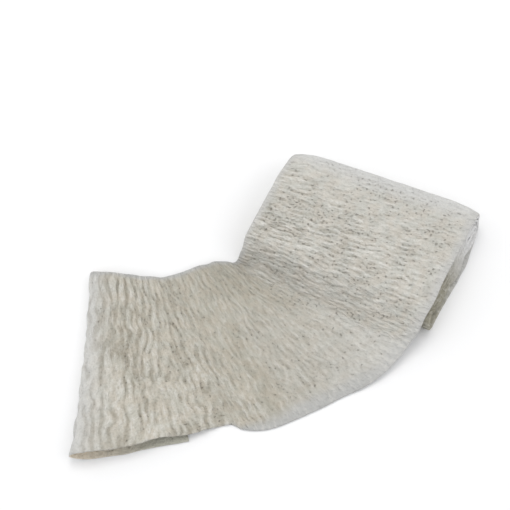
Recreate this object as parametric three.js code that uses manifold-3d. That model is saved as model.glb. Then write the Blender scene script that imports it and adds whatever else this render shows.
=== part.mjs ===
// A crepe bandage, partly unrolled: one woven cotton strip, 75 mm wide. Its right-hand part is the
// wound roll, pressed flat. The loose end leaves the top of the roll over its near side, drops to the
// surface, curves round to the left and is folded under there, with its cut end beneath.
// Millimetres, +Z up, +Y away from the viewer. The part rests on z = 0, under the middle of its box.

import * as THREE from 'three';
import Module from 'manifold-3d';

const wasm = await Module();
wasm.setup();

const { degToRad, lerp, clamp, smoothstep } = THREE.MathUtils;

// Cloth and its mesh

const CLOTH = 1.5;                  // thickness of one layer with its crinkle
const HALF_CLOTH = CLOTH / 2;
const CELL_ALONG_STRIP = 3.4;       // longest step of the mesh along the strip
const STEPS_IN_A_BEND = 2;          // mesh steps between two sections of a fold
const CELLS_ACROSS = 14;            // mesh cells between the two selvedges

// The tables below give places in a layout around a point near the middle of the strip's sweep.
// This moves the whole part so that the origin is under the middle of its box.

const LAYOUT_SHIFT = [-10.32, 20.4, 0];

// Wound roll, in its own directions: along its axis from the left end, across from the far fold
// towards the viewer, and up

const ROLL_CORNER = [16.6, 40.3];   // far left corner of the roll in the layout
const ROLL_SLOPE = -19.5;           // degrees, direction of the roll's axis in plan
const TOP_LAYER = 14.3;             // height of the middle of the cloth on top of the roll
const FAR_FOLD_RADIUS = (TOP_LAYER - HALF_CLOTH) / 2;
const FAR_FOLD_BULGE = { left: 3.1, right: 2.0 };   // how far the far fold stands out past its corners
const FAR_FOLD_ENDS = { start: 0.4, end: 77.4 };

// The near fold lies under the loose end. It is thickest and furthest in at the roll's left end.
// reach is its place across, and top the height of the middle of the cloth on top of it. Its
// selvedges drift to the left as the cloth goes round.

const NEAR_FOLD = {
  left: { reach: 42.8, top: 12.4, along: -3.0 },
  right: { reach: 52.4, top: 9.5, along: 73.0 },
  drift: 2.6,
};

// The inner turns are one flat core. It reaches into the cloth of the outer turn all round. Its two
// ends, where the selvedges of its turns lie over each other, lean to the left from foot to top and
// keep inside the outer turn's selvedges.

const CORE_TOP = 13.9;
const CORE_SKIN = 0.5;              // how far it reaches into the cloth of the near fold
const CORE_SHOULDER = { from: 7, to: 1 };   // where its top drops, before the near fold's centre
const CORE_COLUMNS = 8;
const CORE_ENDS = [
  { across: 0, foot: { start: 3.0, end: 78.2 }, top: { start: -1.2, end: 74.8 } },
  { across: 14, foot: { start: 3.5, end: 77.8 }, top: { start: -2.4, end: 73.4 } },
  { across: 25, foot: { start: 3.0, end: 76.8 }, top: { start: -3.4, end: 71.6 } },
  { across: 36, foot: { start: 0.2, end: 74.4 }, top: { start: -4.6, end: 69.6 } },
  { across: 50, foot: { start: -2.6, end: 69.5 }, top: { start: -5.0, end: 66.4 } },
];

// The loose end, a row for each section or fold, from its cut end to the top of the roll.
// inner and outer are the plan places of the two selvedges. height is the middle of the cloth at
// the inner selvedge, half way and at the outer selvedge. bow moves the half way point along the
// strip, towards the roll.

const LOOSE_END = [
  { name: 'cut end', inner: [-41, -12], outer: [-24.7, -74.6], height: [0.75, 0.75, 0.75], bow: 0 },
  { name: 'tail', inner: [-52, -11.5], outer: [-46.7, -78.7], height: [0.75, 0.75, 0.75], bow: 0 },
  { name: 'fold, start', inner: [-60.2, -10.5], outer: [-61.8, -81.2], height: [0.8, 0.8, 0.9], bow: 0.4 },
  { name: 'fold, lower side', inner: [-63.9, -9.6], outer: [-66.8, -80.9], height: [1.5, 1.6, 2.0], bow: 1.0 },
  { name: 'fold, edge', inner: [-65.0, -9.0], outer: [-68.3, -80.5], height: [2.8, 3.1, 4.1], bow: 1.2 },
  { name: 'fold, upper side', inner: [-63.7, -8.7], outer: [-66.4, -80.1], height: [4.3, 4.8, 6.4], bow: 1.0 },
  { name: 'panel at fold', inner: [-59.8, -8.7], outer: [-60.3, -79.6], height: [4.7, 5.2, 7.2], bow: 0.4 },
  { name: 'left panel', inner: [-52.5, -9.0], outer: [-46.2, -77.3], height: [4.3, 4.4, 5.8], bow: 0 },
  { name: 'panel middle', inner: [-47, -9.6], outer: [-35.3, -74.1], height: [3.8, 3.8, 4.5], bow: 0 },
  { name: 'over cut end', inner: [-41.5, -10.3], outer: [-23.1, -72.1], height: [3.3, 3.2, 3.1], bow: 0 },
  { name: 'past cut end', inner: [-37, -10.0], outer: [-14.5, -69.3], height: [2.0, 1.6, 1.3], bow: 0 },
  { name: 'trough', inner: [-34, -9.4], outer: [-8.6, -68.4], height: [1.7, 0.9, 0.8], bow: 0 },
  { name: 'kink', inner: [-31, -8.6], outer: [-5.0, -70.1], height: [1.8, 1.3, 0.8], bow: 0 },
  { name: 'middle', inner: [-26, -6.6], outer: [4.5, -70.2], height: [2.0, 1.9, 0.8], bow: 0 },
  { name: 'middle right', inner: [-20, -4.6], outer: [18.1, -65.2], height: [2.0, 2.2, 0.8], bow: 0 },
  { name: 'sweep', inner: [-15, -3.6], outer: [31.9, -58.7], height: [1.8, 2.2, 0.8], bow: 0 },
  { name: 'sweep end', inner: [-11.5, -3.3], outer: [42.3, -53.7], height: [1.5, 1.8, 1.4], bow: 0 },
  { name: 'foot', inner: [-9, -3.4], outer: [50.7, -47.3], height: [1.0, 1.3, 2.8], bow: 0 },
  { name: 'valley', inner: [-7.2, -2.6], outer: [57.7, -40.0], height: [1.6, 2.2, 5.0], bow: 0 },
  { name: 'near slope', inner: [-5.3, -0.3], outer: [62.3, -34.7], height: [7.0, 7.4, 8.2], bow: 0 },
  { name: 'brow', inner: [-3.6, 3.4], outer: [65.2, -29.0], height: [12.6, 12.6, 11.8], bow: 0 },
  { name: 'roll top, near', inner: [-1.0, 8.6], outer: [69.0, -21.6], height: [14.3, 14.3, 13.9], bow: 0 },
];

const LEFT_FOLD_NAMES = ['fold, start', 'fold, lower side', 'fold, edge', 'fold, upper side'];

// The rest of the roll's outer turn, over the far fold and back under the roll to the near fold.
// start and end are the places of the two selvedges along the roll's axis.

const TURN_TOP = [
  { name: 'top, near', across: 32, start: -5.4, end: 71.6 },
  { name: 'top, middle', across: 22, start: -3.9, end: 73.1 },
  { name: 'top, far', across: 14, start: -3.0, end: 74.4 },
  { name: 'top at far fold', across: 8, start: -1.8, end: 75.4 },
];

const TURN_BOTTOM = [
  { name: 'bottom at far fold', across: 8, start: 2.6, end: 78.8 },
  { name: 'bottom, far', across: 15, start: 3.0, end: 78.4 },
  { name: 'bottom, middle', across: 25, start: 2.4, end: 77.8 },
  { name: 'bottom, near', across: 35, start: -0.6, end: 75.8 },
];

const FAR_FOLD_TURNS = [25, 57, 90, 123, 155];      // degrees gone round at each section
const NEAR_FOLD_TURNS = [0, 30, 60, 90, 120, 150, 180];

// Soft folds and hollows of the loose end's upper layer, each along a line in plan

const SOFT_FOLDS = [
  { name: 'ridge right of the trough', from: [-27, -20], to: [0, -62], rise: 0.9, halfWidth: 5 },
  { name: 'hollow by the left fold', from: [-57, -38], to: [-55, -76], rise: -0.9, halfWidth: 4 },
  { name: 'ridge in the left panel', from: [-45, -22], to: [-36, -52], rise: 0.8, halfWidth: 3.5 },
  { name: 'hollow in the sweep', from: [0, -30], to: [9, -52], rise: -0.6, halfWidth: 3.5 },
  { name: 'ridge in the sweep', from: [12, -32], to: [24, -54], rise: 0.5, halfWidth: 5 },
];

function rollPoint(along, across, height) {
  const angle = degToRad(ROLL_SLOPE);
  return new THREE.Vector3(
    ROLL_CORNER[0] + along * Math.cos(angle) + across * Math.sin(angle),
    ROLL_CORNER[1] + along * Math.sin(angle) - across * Math.cos(angle),
    height,
  );
}

// Sections: the cloth's middle surface at its two selvedges and half way between them

function section(inner, outer, middleHeight, bow, bends) {
  const middle = inner.clone().add(outer).multiplyScalar(0.5);
  const acrossStrip = outer.clone().sub(inner).setZ(0).normalize();
  middle.x -= acrossStrip.y * bow;
  middle.y += acrossStrip.x * bow;
  middle.z = middleHeight;
  return { inner, middle, outer, bends };
}

function looseSection(row) {
  const inner = new THREE.Vector3(...row.inner, row.height[0]);
  const outer = new THREE.Vector3(...row.outer, row.height[2]);
  return section(inner, outer, row.height[1], row.bow, LEFT_FOLD_NAMES.includes(row.name));
}

function flatSection(row, height) {
  const inner = rollPoint(row.start, row.across, height);
  const outer = rollPoint(row.end, row.across, height);
  return section(inner, outer, height, 0, false);
}

function farFoldSection(degrees) {
  const turn = degToRad(degrees);
  const share = degrees / 180;
  const across = HALF_CLOTH + FAR_FOLD_RADIUS * (1 - Math.sin(turn));
  const height = HALF_CLOTH + FAR_FOLD_RADIUS * (1 + Math.cos(turn));
  const inner = rollPoint(lerp(TURN_TOP.at(-1).start, TURN_BOTTOM[0].start, share), across, height);
  const outer = rollPoint(lerp(TURN_TOP.at(-1).end, TURN_BOTTOM[0].end, share), across, height);
  return section(inner, outer, height, 0, true);
}

function nearFoldAt(share) {
  const radius = (lerp(NEAR_FOLD.left.top, NEAR_FOLD.right.top, share) - HALF_CLOTH) / 2;
  const reach = lerp(NEAR_FOLD.left.reach, NEAR_FOLD.right.reach, share);
  return { radius, centre: reach - HALF_CLOTH - radius };
}

function nearFoldSection(degrees) {
  const turn = degToRad(degrees);
  const drift = NEAR_FOLD.drift * degrees / 180;
  const [inner, outer] = [0, 1].map((share) => {
    const fold = nearFoldAt(share);
    const along = lerp(NEAR_FOLD.left.along, NEAR_FOLD.right.along, share) - drift;
    const across = fold.centre + fold.radius * Math.sin(turn);
    return rollPoint(along, across, HALF_CLOTH + fold.radius * (1 - Math.cos(turn)));
  });
  return section(inner, outer, (inner.z + outer.z) / 2, 0, true);
}

const beforeFarFold = [
  ...LOOSE_END.map(looseSection),
  ...TURN_TOP.map((row) => flatSection(row, TOP_LAYER)),
];

const sections = [
  ...beforeFarFold,
  ...FAR_FOLD_TURNS.map(farFoldSection),
  ...TURN_BOTTOM.map((row) => flatSection(row, HALF_CLOTH)),
  ...NEAR_FOLD_TURNS.map(nearFoldSection),
];

const lastSection = sections.length - 1;
const farFoldMiddle = beforeFarFold.length + FAR_FOLD_TURNS.indexOf(90);

const [innerCurve, middleCurve, outerCurve] = ['inner', 'middle', 'outer'].map((edge) => (
  new THREE.CatmullRomCurve3(sections.map((each) => each[edge]), false, 'centripetal')
));

// The far fold stands out evenly but for its two rounded corners

function farFoldBulge(share, sectionsAway) {
  const corners = 1 - Math.abs(2 * share - 1) ** 8;
  const bulge = lerp(FAR_FOLD_BULGE.left, FAR_FOLD_BULGE.right, share);
  return bulge * corners * Math.exp(-((sectionsAway / 2.2) ** 2));
}

// How far the soft folds lift a point. They fade out at the left fold and at the foot of the roll.

function softFoldRise(sectionNumber, x, y) {
  const fade = smoothstep(sectionNumber, 5, 7) * (1 - smoothstep(sectionNumber, 15, 17));
  const place = new THREE.Vector3(x, y, 0);
  let rise = 0;
  for (const fold of SOFT_FOLDS) {
    const line = new THREE.Line3(new THREE.Vector3(...fold.from, 0), new THREE.Vector3(...fold.to, 0));
    const away = place.distanceTo(line.closestPointToPoint(place, true, new THREE.Vector3()));
    rise += fold.rise * Math.exp(-((away / fold.halfWidth) ** 2));
  }
  return rise * fade;
}

// The cloth's middle surface at a section number, whole or between two sections, and a share of
// the width from the inner selvedge

function clothPoint(sectionNumber, share) {
  const along = sectionNumber / lastSection;
  const point = new THREE.Vector3()
    .addScaledVector(innerCurve.getPoint(along), (1 - share) * (1 - 2 * share))
    .addScaledVector(middleCurve.getPoint(along), 4 * share * (1 - share))
    .addScaledVector(outerCurve.getPoint(along), share * (2 * share - 1));
  const bulge = farFoldBulge(share, sectionNumber - farFoldMiddle);
  point.x -= bulge * Math.sin(degToRad(ROLL_SLOPE));
  point.y += bulge * Math.cos(degToRad(ROLL_SLOPE));
  point.z = Math.max(HALF_CLOTH, point.z + softFoldRise(sectionNumber, point.x, point.y));
  return point;
}

function clothNormal(sectionNumber, share) {
  const reach = 0.02;
  const ahead = clothPoint(Math.min(sectionNumber + reach, lastSection), share);
  const behind = clothPoint(Math.max(sectionNumber - reach, 0), share);
  const outward = clothPoint(sectionNumber, Math.min(share + reach, 1));
  const inward = clothPoint(sectionNumber, Math.max(share - reach, 0));
  return outward.sub(inward).cross(ahead.sub(behind)).normalize();
}

function meshStations() {
  const stations = [];
  for (let number = 0; number < lastSection; number += 1) {
    const here = sections[number];
    const next = sections[number + 1];
    const longest = Math.max(here.inner.distanceTo(next.inner), here.outer.distanceTo(next.outer));
    const fewest = here.bends ? STEPS_IN_A_BEND : 1;
    const steps = Math.max(fewest, Math.round(longest / CELL_ALONG_STRIP));
    for (let step = 0; step < steps; step += 1) {
      stations.push(number + step / steps);
    }
  }
  stations.push(lastSection);
  return stations;
}

// A closed body between an upper and a lower grid of points, walled all round

function closedBody(upper, lower) {
  const rows = upper.length;
  const columns = upper[0].length;
  const positions = [...upper.flat(), ...lower.flat()].flatMap((point) => point.toArray());
  const faces = [];
  const top = (row, column) => row * columns + column;
  const under = (row, column) => (rows + row) * columns + column;
  const quad = (a, b, c, d) => faces.push(a, b, c, a, c, d);
  for (let row = 0; row < rows - 1; row += 1) {
    for (let column = 0; column < columns - 1; column += 1) {
      quad(top(row, column), top(row, column + 1), top(row + 1, column + 1), top(row + 1, column));
      quad(under(row, column), under(row + 1, column), under(row + 1, column + 1), under(row, column + 1));
    }
    const last = columns - 1;
    quad(top(row, 0), top(row + 1, 0), under(row + 1, 0), under(row, 0));
    quad(top(row, last), under(row, last), under(row + 1, last), top(row + 1, last));
  }
  for (let column = 0; column < columns - 1; column += 1) {
    const last = rows - 1;
    quad(top(0, column), under(0, column), under(0, column + 1), top(0, column + 1));
    quad(top(last, column), top(last, column + 1), under(last, column + 1), under(last, column));
  }
  return new wasm.Manifold(new wasm.Mesh({
    numProp: 3,
    vertProperties: new Float32Array(positions),
    triVerts: new Uint32Array(faces),
  }));
}

// The strip: half the cloth's thickness to each side of its middle surface, and flat where it
// rests

function stripBody() {
  const settle = 0.03;
  const faces = [HALF_CLOTH, -HALF_CLOTH].map((offset) => (
    meshStations().map((station) => {
      const row = [];
      for (let cell = 0; cell <= CELLS_ACROSS; cell += 1) {
        const share = cell / CELLS_ACROSS;
        const point = clothPoint(station, share).addScaledVector(clothNormal(station, share), offset);
        point.z = point.z < settle ? 0 : point.z;
        row.push(point);
      }
      return row;
    })
  ));
  return closedBody(...faces);
}

// The core: rows from the far fold to the near fold, each giving its place across and the heights
// of its upper and lower side at a place along the roll

function coreRowAtFarFold(degrees) {
  const turn = degToRad(degrees);
  return (share, along) => {
    const shareOfCloth = (along - FAR_FOLD_ENDS.start) / (FAR_FOLD_ENDS.end - FAR_FOLD_ENDS.start);
    const bulge = farFoldBulge(shareOfCloth, 0);
    return {
      across: HALF_CLOTH + FAR_FOLD_RADIUS * (1 - Math.sin(turn)) - bulge * Math.sin(turn),
      upper: Math.min(CORE_TOP, HALF_CLOTH + FAR_FOLD_RADIUS * (1 + Math.cos(turn))),
      lower: HALF_CLOTH + FAR_FOLD_RADIUS * (1 - Math.cos(turn)),
    };
  };
}

function coreRowInMiddle(part) {
  const first = HALF_CLOTH + FAR_FOLD_RADIUS;
  return (share) => {
    const last = nearFoldAt(share).centre - CORE_SHOULDER.from;
    return { across: lerp(first, last, part), upper: CORE_TOP, lower: HALF_CLOTH };
  };
}

function coreRowAtNearFold(degrees) {
  const turn = degToRad(degrees);
  return (share) => {
    const fold = nearFoldAt(share);
    const toCentre = degrees === 0 ? CORE_SHOULDER.to : 0;
    return {
      across: fold.centre + (fold.radius + CORE_SKIN) * Math.sin(turn) - toCentre,
      upper: HALF_CLOTH + fold.radius + (fold.radius + CORE_SKIN) * Math.cos(turn),
      lower: HALF_CLOTH + fold.radius - fold.radius * Math.cos(turn),
    };
  };
}

const coreRows = [
  ...[75, 50, 25].map(coreRowAtFarFold),
  ...[0.1, 0.4, 0.7, 1].map(coreRowInMiddle),
  ...[0, 25, 50, 70].map(coreRowAtNearFold),
];

function coreEnd(across, height, edge) {
  const ahead = CORE_ENDS.findIndex((row) => row.across >= across);
  const next = clamp(ahead < 0 ? CORE_ENDS.length - 1 : ahead, 1, CORE_ENDS.length - 1);
  const before = CORE_ENDS[next - 1];
  const after = CORE_ENDS[next];
  const part = clamp((across - before.across) / (after.across - before.across), 0, 1);
  const atFoot = lerp(before.foot[edge], after.foot[edge], part);
  const atTop = lerp(before.top[edge], after.top[edge], part);
  return lerp(atFoot, atTop, height / TOP_LAYER);
}

// A row of points on one side of the core, from its left end to its right

function coreRow(rowAt, side) {
  const row = [];
  for (let column = 0; column <= CORE_COLUMNS; column += 1) {
    const share = column / CORE_COLUMNS;
    const roughly = rowAt(share, lerp(FAR_FOLD_ENDS.start, FAR_FOLD_ENDS.end, share));
    const [start, end] = ['start', 'end'].map((edge) => coreEnd(roughly.across, roughly[side], edge));
    const along = lerp(start, end, share);
    const place = rowAt(share, along);
    row.push(rollPoint(along, place.across, place[side]));
  }
  return row;
}

function coreBody() {
  const [lower, upper] = ['lower', 'upper'].map((side) => coreRows.map((rowAt) => coreRow(rowAt, side)));
  return closedBody(lower, upper);
}

const solid = stripBody().add(coreBody()).translate(LAYOUT_SHIFT);
const joined = solid.getMesh();
const geometry = new THREE.BufferGeometry();
geometry.setAttribute('position', new THREE.BufferAttribute(joined.vertProperties, 3));
geometry.setIndex(new THREE.BufferAttribute(joined.triVerts, 1));
geometry.computeVertexNormals();

const crepe = new THREE.MeshStandardMaterial({ color: 0xd9d5ca, roughness: 0.95, metalness: 0 });
const bandage = new THREE.Mesh(geometry, crepe);
bandage.name = 'bandage';

const part = new THREE.Group();
part.add(bandage);

export default part;
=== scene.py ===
"""A crepe bandage, partly unrolled: one woven cotton strip, 75 mm wide.

Its right-hand part is the wound roll, pressed flat. The loose end leaves the top of the roll over
its near side, drops to the floor, curves round to the left and is folded under there.
The tables are in millimetres and the meshes in metres. +Z is up, and +Y leads away from the viewer.
"""

import math

import bpy
import numpy as np
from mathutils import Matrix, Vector


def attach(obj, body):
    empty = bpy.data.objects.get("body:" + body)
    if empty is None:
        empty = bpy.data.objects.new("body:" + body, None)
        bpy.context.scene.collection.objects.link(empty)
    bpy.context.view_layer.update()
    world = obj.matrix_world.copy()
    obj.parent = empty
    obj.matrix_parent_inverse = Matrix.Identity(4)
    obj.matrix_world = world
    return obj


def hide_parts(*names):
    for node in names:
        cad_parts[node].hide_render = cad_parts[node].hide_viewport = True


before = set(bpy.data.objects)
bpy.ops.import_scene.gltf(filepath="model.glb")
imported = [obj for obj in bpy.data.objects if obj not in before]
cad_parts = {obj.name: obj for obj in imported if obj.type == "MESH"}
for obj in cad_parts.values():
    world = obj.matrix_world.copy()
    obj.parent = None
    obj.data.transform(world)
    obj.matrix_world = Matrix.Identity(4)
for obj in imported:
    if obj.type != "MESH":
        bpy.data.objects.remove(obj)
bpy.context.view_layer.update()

MM = 0.001
LAYOUT_SHIFT = np.array([-10.32, 20.4, 0.0])     # from the tables' layout to the part's own frame
SEED = 75

# Camera: the photograph looks down at 70 degrees, and its middle is the layout's origin

CAMERA_ELEVATION = 70.0
CAMERA_DISTANCE = 420.0
HALF_VIEW = 102.0                                # half the picture's width at that distance
SENSOR = 36.0


def add_camera():
    target = Vector(LAYOUT_SHIFT * MM)
    elevation = math.radians(CAMERA_ELEVATION)
    back = Vector((0.0, -math.cos(elevation), math.sin(elevation)))
    data = bpy.data.cameras.new("camera")
    data.sensor_width = SENSOR
    data.lens = SENSOR / 2 * CAMERA_DISTANCE / HALF_VIEW
    camera = bpy.data.objects.new("camera", data)
    camera.location = target + back * CAMERA_DISTANCE * MM
    camera.rotation_mode = "QUATERNION"
    camera.rotation_quaternion = (-back).to_track_quat("-Z", "Y")
    bpy.context.collection.objects.link(camera)
    bpy.context.scene.camera = camera


add_camera()

# The strip's route: the same tables as the solid's

LAYER = 1.5                                      # room that one layer takes with its crinkle
HALF_LAYER = LAYER / 2
STRIP_WIDTH = 75.0

ROLL_CORNER = (16.6, 40.3)                       # far left corner of the roll in the layout
ROLL_SLOPE = math.radians(-19.5)                 # direction of the roll's axis in plan
TOP_LAYER = 14.3                                 # height of the top layer's middle
FAR_FOLD_RADIUS = (TOP_LAYER - HALF_LAYER) / 2
FAR_FOLD_BULGE = {"left": 3.1, "right": 2.0}     # how far it swells out between its corners
BULGE_REACH = 2.2                                # how many sections the bulge spreads each way
BULGE_CORNER_POWER = 8                           # the higher, the closer it comes to the selvedges

# The near fold's two ends: how far across the roll each reaches, how high it comes and its place
# along the roll. The fold drifts to the left as it comes up.

NEAR_FOLD = {
    "left": {"reach": 42.8, "top": 12.4, "along": -3.0},
    "right": {"reach": 52.4, "top": 9.5, "along": 73.0},
    "drift": 2.6,
}

# A row for each section or fold, from the cut end to the top of the roll: its name, the plan places
# of the inner and the outer selvedge, the heights at the inner selvedge, half way and at the outer
# selvedge, and how far the half way point bows towards the roll

LOOSE_END = [
    ("cut end", (-41, -12), (-24.7, -74.6), (0.75, 0.75, 0.75), 0),
    ("tail", (-52, -11.5), (-46.7, -78.7), (0.75, 0.75, 0.75), 0),
    ("fold, start", (-60.2, -10.5), (-61.8, -81.2), (0.8, 0.8, 0.9), 0.4),
    ("fold, lower side", (-63.9, -9.6), (-66.8, -80.9), (1.5, 1.6, 2.0), 1.0),
    ("fold, edge", (-65.0, -9.0), (-68.3, -80.5), (2.8, 3.1, 4.1), 1.2),
    ("fold, upper side", (-63.7, -8.7), (-66.4, -80.1), (4.3, 4.8, 6.4), 1.0),
    ("panel at fold", (-59.8, -8.7), (-60.3, -79.6), (4.7, 5.2, 7.2), 0.4),
    ("left panel", (-52.5, -9.0), (-46.2, -77.3), (4.3, 4.4, 5.8), 0),
    ("panel middle", (-47, -9.6), (-35.3, -74.1), (3.8, 3.8, 4.5), 0),
    ("over cut end", (-41.5, -10.3), (-23.1, -72.1), (3.3, 3.2, 3.1), 0),
    ("past cut end", (-37, -10.0), (-14.5, -69.3), (2.0, 1.6, 1.3), 0),
    ("trough", (-34, -9.4), (-8.6, -68.4), (1.7, 0.9, 0.8), 0),
    ("kink", (-31, -8.6), (-5.0, -70.1), (1.8, 1.3, 0.8), 0),
    ("middle", (-26, -6.6), (4.5, -70.2), (2.0, 1.9, 0.8), 0),
    ("middle right", (-20, -4.6), (18.1, -65.2), (2.0, 2.2, 0.8), 0),
    ("sweep", (-15, -3.6), (31.9, -58.7), (1.8, 2.2, 0.8), 0),
    ("sweep end", (-11.5, -3.3), (42.3, -53.7), (1.5, 1.8, 1.4), 0),
    ("foot", (-9, -3.4), (50.7, -47.3), (1.0, 1.3, 2.8), 0),
    ("valley", (-7.2, -2.6), (57.7, -40.0), (1.6, 2.2, 5.0), 0),
    ("near slope", (-5.3, -0.3), (62.3, -34.7), (7.0, 7.4, 8.2), 0),
    ("brow", (-3.6, 3.4), (65.2, -29.0), (12.6, 12.6, 11.8), 0),
    ("roll top, near", (-1.0, 8.6), (69.0, -21.6), (14.3, 14.3, 13.9), 0),
]

# The rest of the outer turn: its name, its place across the roll from the far fold, and the places
# of the two selvedges along the roll

TURN_TOP = [
    ("top, near", 32, -5.4, 71.6),
    ("top, middle", 22, -3.9, 73.1),
    ("top, far", 14, -3.0, 74.4),
    ("top at far fold", 8, -1.8, 75.4),
]
TURN_BOTTOM = [
    ("bottom at far fold", 8, 2.6, 78.8),
    ("bottom, far", 15, 3.0, 78.4),
    ("bottom, middle", 25, 2.4, 77.8),
    ("bottom, near", 35, -0.6, 75.8),
]
FAR_FOLD_TURNS = (25, 57, 90, 123, 155)          # degrees gone round at each section
NEAR_FOLD_TURNS = (0, 30, 60, 90, 120, 150, 180)

# Soft folds and hollows of the loose end's upper layer: where each starts and ends in plan, its rise
# and its half width

SOFT_FOLDS = [
    ((-27, -20), (0, -62), 0.9, 5.0),
    ((-57, -38), (-55, -76), -0.9, 4.0),
    ((-45, -22), (-36, -52), 0.8, 3.5),
    ((0, -30), (9, -52), -0.6, 3.5),
    ((12, -32), (24, -54), 0.5, 5.0),
]
SOFT_FOLD_START = (-0.1, 0.4)                    # shares of its line between which a fold comes up
FINE_POINTS = 4000                               # of the line that even steps are measured on


def lerp(a, b, part):
    return a + (b - a) * part


def smoothstep(x, low, high):
    part = np.clip((np.asarray(x, float) - low) / (high - low), 0, 1)
    return part * part * (3 - 2 * part)


def roll_point(along, across, height):
    """A place on the roll, by its distance along the axis, across from the far fold, and up."""
    c, s = math.cos(ROLL_SLOPE), math.sin(ROLL_SLOPE)
    along, across, height = np.broadcast_arrays(*(np.asarray(v, float) for v in (along, across, height)))
    x = ROLL_CORNER[0] + along * c + across * s
    y = ROLL_CORNER[1] + along * s - across * c
    return np.stack([x, y, height], -1)


def section(inner, outer, middle_height, bow=0.0):
    middle = (inner + outer) / 2
    way = (outer - inner)[:2]
    way = way / np.linalg.norm(way)
    middle[0] -= way[1] * bow
    middle[1] += way[0] * bow
    middle[2] = middle_height
    return inner, middle, outer


def loose_section(row):
    _, inner, outer, height, bow = row
    return section(
        np.array([*inner, height[0]], float), np.array([*outer, height[2]], float), height[1], bow
    )


def flat_section(row, height):
    _, across, start, end = row
    return section(roll_point(start, across, height), roll_point(end, across, height), height)


def far_fold_section(degrees):
    turn = math.radians(degrees)
    share = degrees / 180
    across = HALF_LAYER + FAR_FOLD_RADIUS * (1 - math.sin(turn))
    height = HALF_LAYER + FAR_FOLD_RADIUS * (1 + math.cos(turn))
    ends = [lerp(TURN_TOP[-1][k], TURN_BOTTOM[0][k], share) for k in (2, 3)]
    return section(roll_point(ends[0], across, height), roll_point(ends[1], across, height), height)


def near_fold_at(share):
    """Radius and centre, across the roll, of the near fold at a share of the width."""
    left, right = NEAR_FOLD["left"], NEAR_FOLD["right"]
    radius = (lerp(left["top"], right["top"], share) - HALF_LAYER) / 2
    return radius, lerp(left["reach"], right["reach"], share) - HALF_LAYER - radius


def near_fold_section(degrees):
    turn = math.radians(degrees)
    drift = NEAR_FOLD["drift"] * degrees / 180
    ends = []
    for share, side in ((0, "left"), (1, "right")):
        radius, centre = near_fold_at(share)
        ends.append(roll_point(
            NEAR_FOLD[side]["along"] - drift,
            centre + radius * math.sin(turn),
            HALF_LAYER + radius * (1 - math.cos(turn)),
        ))
    return section(*ends, (ends[0][2] + ends[1][2]) / 2)


SECTIONS = [
    *(loose_section(row) for row in LOOSE_END),
    *(flat_section(row, TOP_LAYER) for row in TURN_TOP),
    *(far_fold_section(turn) for turn in FAR_FOLD_TURNS),
    *(flat_section(row, HALF_LAYER) for row in TURN_BOTTOM),
    *(near_fold_section(turn) for turn in NEAR_FOLD_TURNS),
]
NAMES = [
    *(row[0] for row in LOOSE_END),
    *(row[0] for row in TURN_TOP),
    *(f"far fold {turn}" for turn in FAR_FOLD_TURNS),
    *(row[0] for row in TURN_BOTTOM),
    *(f"near fold {turn}" for turn in NEAR_FOLD_TURNS),
]
FAR_FOLD_MIDDLE = NAMES.index("far fold 90")


def passed(numbers, first, last):
    """How far section numbers have gone from one named section to another, from 0 to 1."""
    return smoothstep(numbers, NAMES.index(first), NAMES.index(last))


def smooth_line(controls, numbers):
    """A centripetal Catmull-Rom curve through the controls, at section numbers whole or between."""
    points = np.array(controls, float)
    padded = np.vstack([2 * points[0] - points[1], points, 2 * points[-1] - points[-2]])
    first = np.clip(np.floor(numbers).astype(int), 0, len(points) - 2)
    part = (numbers - first)[:, None]
    p0, p1, p2, p3 = (padded[first + k] for k in range(4))
    d0, d1, d2 = (
        np.sqrt(np.linalg.norm(b - a, axis=1))[:, None] for a, b in ((p0, p1), (p1, p2), (p2, p3))
    )
    leave = ((p1 - p0) / d0 - (p2 - p0) / (d0 + d1) + (p2 - p1) / d1) * d1
    arrive = ((p2 - p1) / d1 - (p3 - p1) / (d1 + d2) + (p3 - p2) / d2) * d1
    return (
        p1 + leave * part
        + (-3 * p1 + 3 * p2 - 2 * leave - arrive) * part**2
        + (2 * p1 - 2 * p2 + leave + arrive) * part**3
    )


def far_fold_bulge(share, sections_away):
    corners = 1 - np.abs(2 * share - 1) ** BULGE_CORNER_POWER
    bulge = lerp(FAR_FOLD_BULGE["left"], FAR_FOLD_BULGE["right"], share)
    return bulge * corners * np.exp(-((sections_away / BULGE_REACH) ** 2))


def soft_fold_rise(numbers, x, y):
    """The soft folds' rise, which begins more gently here than on the solid."""
    fade = passed(numbers, "fold, upper side", "left panel") * (1 - passed(numbers, "sweep", "foot"))
    rise = np.zeros_like(x)
    for start, end, height, half_width in SOFT_FOLDS:
        (ax, ay), (bx, by) = start, end
        length = (bx - ax) ** 2 + (by - ay) ** 2
        part = ((x - ax) * (bx - ax) + (y - ay) * (by - ay)) / length
        begins = smoothstep(part, *SOFT_FOLD_START)
        part = np.clip(part, 0, 1)
        away = np.hypot(x - ax - part * (bx - ax), y - ay - part * (by - ay))
        rise += height * begins * np.exp(-((away / half_width) ** 2))
    return rise * fade


def cloth_points(numbers, shares):
    """The cloth's middle surface: a row for each section number, a column for each share across."""
    inner, middle, outer = (
        smooth_line([each[k] for each in SECTIONS], numbers)[:, None, :] for k in range(3)
    )
    v = np.asarray(shares)[None, :, None]
    points = inner * (1 - v) * (1 - 2 * v) + middle * 4 * v * (1 - v) + outer * v * (2 * v - 1)
    away = numbers[:, None] - FAR_FOLD_MIDDLE
    bulge = far_fold_bulge(v[..., 0], away)
    points[..., 0] -= bulge * math.sin(ROLL_SLOPE)
    points[..., 1] += bulge * math.cos(ROLL_SLOPE)
    rise = soft_fold_rise(numbers[:, None] + 0 * v[..., 0], points[..., 0], points[..., 1])
    points[..., 2] = np.maximum(HALF_LAYER, points[..., 2] + rise)
    return points


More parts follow.
